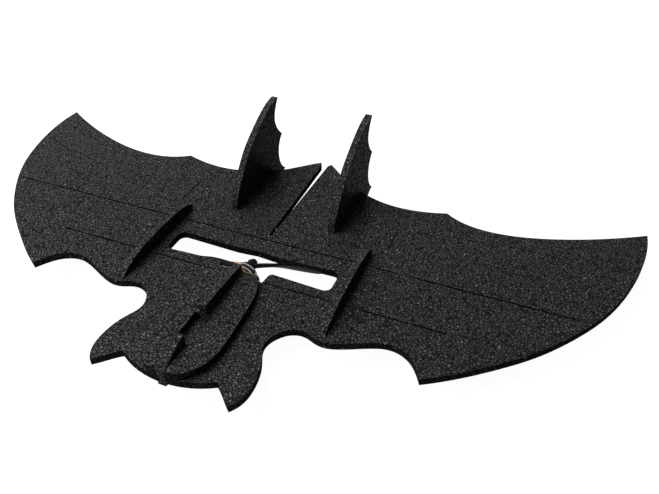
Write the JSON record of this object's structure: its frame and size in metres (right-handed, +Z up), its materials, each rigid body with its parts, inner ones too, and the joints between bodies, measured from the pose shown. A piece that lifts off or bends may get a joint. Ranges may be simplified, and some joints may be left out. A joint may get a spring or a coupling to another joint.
{
  "type": "rc flying wing",
  "caption": "Bat-shaped radio-controlled flying wing of black foam sheet with a pusher propeller in a slot, twin scalloped fins on hinged elevons, low fences and a centre ridge.",
  "frame": {"origin": "middle of the belly skid's flat foot, on the ground", "axes": "+X along the span, to the right of someone who faces the nose, +Y nose to tail, +Z up; piece names say left and right as seen by someone facing the nose"},
  "size_m": [0.5996, 0.3003, 0.0955],
  "materials": {
    "foam": "matte",
    "carbon": "satin",
    "plywood": "satin",
    "steel": "satin",
    "motor_metal": "satin",
    "copper": "satin",
    "adapter_black": "satin",
    "servo_plastic": "satin",
    "horn_plastic": "satin",
    "battery_wrap": "satin",
    "strap": "matte"
  },
  "bodies": {
    "airframe": {"wing_panel": "foam", "left_fence": "foam", "right_fence": "foam", "nose_keel": "foam", "rear_keel": "foam", "belly_keel": "foam", "left_deck": "foam", "right_deck": "foam", "left_servo_plug": "foam", "right_servo_plug": "foam", "rear_spar": "carbon", "left_front_spar": "carbon", "right_front_spar": "carbon", "motor_mount": "plywood", "motor_base": "motor_metal", "motor_bearings": "steel", "motor_stator": "motor_metal", "motor_windings": "copper", "left_servo_case": "servo_plastic", "right_servo_case": "servo_plastic", "battery": "battery_wrap", "battery_strap": "strap", "esc": "battery_wrap", "receiver": "battery_wrap"},
    "left_elevon_body": {"left_elevon": "foam", "left_fin": "foam", "left_control_horn": "horn_plastic"},
    "left_servo_arm_body": {"left_servo_arm": "horn_plastic", "left_servo_shaft": "horn_plastic"},
    "left_pushrod_body": {"left_pushrod": "steel"},
    "right_elevon_body": {"right_elevon": "foam", "right_fin": "foam", "right_control_horn": "horn_plastic"},
    "right_servo_arm_body": {"right_servo_arm": "horn_plastic", "right_servo_shaft": "horn_plastic"},
    "right_pushrod_body": {"right_pushrod": "steel"},
    "rotor": {"motor_bell": "motor_metal", "magnet_ring": "steel", "motor_shaft": "steel", "prop_adapter": "adapter_black", "propeller": "adapter_black", "prop_nut": "adapter_black"}
  },
  "joints": [
    {"name": "left_elevon_hinge", "type": "hinge", "parent": "airframe", "child": "left_elevon_body", "pos_m": [-0.063, 0.141, 0.026], "axis": [1, 0, 0], "range_deg": [-20, 20]},
    {"name": "left_servo_pivot", "type": "hinge", "parent": "airframe", "child": "left_servo_arm_body", "pos_m": [-0.09855, 0.057, 0.01925], "axis": [1, 0, 0], "range_deg": [-20, 20]},
    {"name": "left_rod_pivot", "type": "hinge", "parent": "left_servo_arm_body", "child": "left_pushrod_body", "pos_m": [-0.09855, 0.057, 0.00925], "axis": [1, 0, 0], "range_deg": [-20, 20]},
    {"name": "right_elevon_hinge", "type": "hinge", "parent": "airframe", "child": "right_elevon_body", "pos_m": [0.063, 0.141, 0.026], "axis": [1, 0, 0], "range_deg": [-20, 20]},
    {"name": "right_servo_pivot", "type": "hinge", "parent": "airframe", "child": "right_servo_arm_body", "pos_m": [0.09855, 0.057, 0.01925], "axis": [1, 0, 0], "range_deg": [-20, 20]},
    {"name": "right_rod_pivot", "type": "hinge", "parent": "right_servo_arm_body", "child": "right_pushrod_body", "pos_m": [0.09855, 0.057, 0.00925], "axis": [1, 0, 0], "range_deg": [-20, 20]},
    {"name": "propeller_spin", "type": "hinge", "parent": "airframe", "child": "rotor", "pos_m": [0, 0.09, 0.0208], "axis": [0, 1, 0], "continuous": true}
  ],
  "couplings": [
    {"joint": "left_servo_pivot", "follows": "left_elevon_hinge", "ratio": 1},
    {"joint": "left_rod_pivot", "follows": "left_elevon_hinge", "ratio": -1},
    {"joint": "right_servo_pivot", "follows": "right_elevon_hinge", "ratio": 1},
    {"joint": "right_rod_pivot", "follows": "right_elevon_hinge", "ratio": -1}
  ]
}
